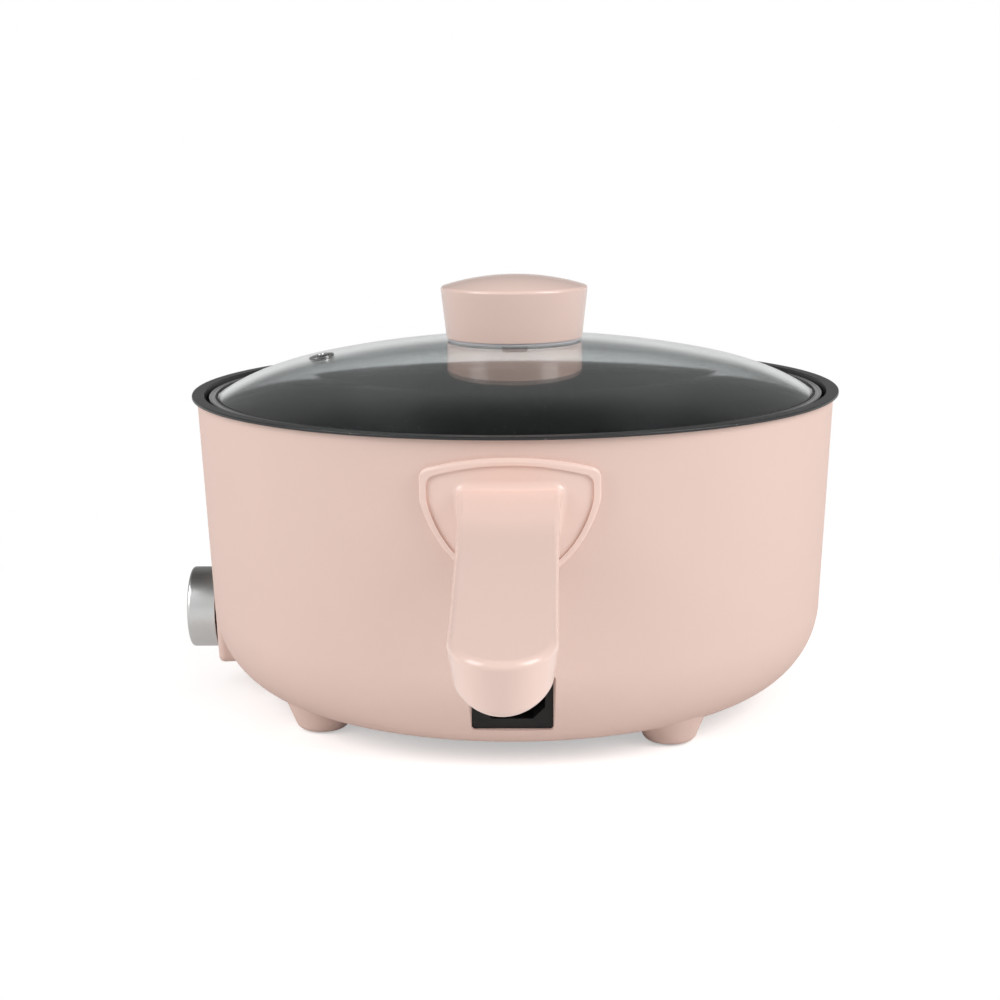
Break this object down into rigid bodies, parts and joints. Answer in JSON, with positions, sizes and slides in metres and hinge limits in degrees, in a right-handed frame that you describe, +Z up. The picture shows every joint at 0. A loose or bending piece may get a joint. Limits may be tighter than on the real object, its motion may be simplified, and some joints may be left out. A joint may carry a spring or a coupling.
{
  "type": "electric pan",
  "caption": "Round deep electric pan with a domed glass lift-off lid, a flat-topped side handle, a round control dial low on one side and a mains inlet under the handle.",
  "frame": {"origin": "on the pan's vertical axis, at the level of the table that the feet stand on", "axes": "+Z up along the pan's axis; the handle and the mains inlet point to -Y, the dial to -X"},
  "size_m": [0.271, 0.4132, 0.1751],
  "materials": {
    "body_plastic": "fine matt grain",
    "trim_plastic": "semi gloss",
    "pot_coating": "non-stick coating, semi gloss",
    "lid_glass": "clear toughened glass",
    "band_steel": "rolled and polished",
    "dial_metal": "satin, turned face",
    "black_plastic": "moulded, matt",
    "plated_steel": "zinc plated",
    "shield_steel": "bright sheet",
    "brass": "plain",
    "heater_plate_metal": "as cast",
    "heater_sheath": "annealed sheath",
    "ceramic": "unglazed",
    "silicone": "matt silicone",
    "wire_brown": "insulation",
    "wire_blue": "insulation",
    "wire_green": "insulation"
  },
  "bodies": {
    "pan": {"housing": "body_plastic", "handle": "trim_plastic", "handle_cover": "trim_plastic", "pot": "pot_coating", "base_cover": "black_plastic", "rotary_switch": "black_plastic", "inlet_socket": "black_plastic", "base_screws": "plated_steel", "earth_screw": "plated_steel", "fuse_clip": "plated_steel", "handle_bracket": "plated_steel", "handle_cover_screws": "plated_steel", "handle_screws": "plated_steel", "inlet_screws": "plated_steel", "pillars": "plated_steel", "plate_screws": "plated_steel", "shield_nuts": "plated_steel", "switch_nut": "plated_steel", "thermostat_strap": "plated_steel", "heat_shield": "shield_steel", "inlet_pins": "brass", "switch_tabs": "brass", "earth_tag": "brass", "heat_plate": "heater_plate_metal", "heater_tube": "heater_sheath", "heater_pins": "heater_sheath", "heater_seals": "ceramic", "thermostat": "ceramic", "thermal_fuse": "ceramic", "foot_pads": "silicone", "wire_live": "wire_brown", "wire_switched": "wire_brown", "wire_neutral": "wire_blue", "wire_earth": "wire_green"},
    "lid": {"lid_glass": "lid_glass", "lid_band": "band_steel", "steam_vent": "band_steel", "lid_knob": "trim_plastic", "knob_insert": "brass", "knob_seat": "silicone", "knob_washer": "silicone", "knob_screw": "plated_steel"},
    "dial": {"dial_cap": "dial_metal", "dial_hub": "black_plastic", "dial_shaft": "plated_steel"}
  },
  "joints": [
    {"name": "lid_lift", "type": "slide", "parent": "pan", "child": "lid", "axis": [0, 0, 1], "range_m": [0, 0.12]},
    {"name": "dial_turn", "type": "hinge", "parent": "pan", "child": "dial", "pos_m": [-0.127, 0, 0.0348], "axis": [1, 0, 0], "range_deg": [0, 270]}
  ]
}
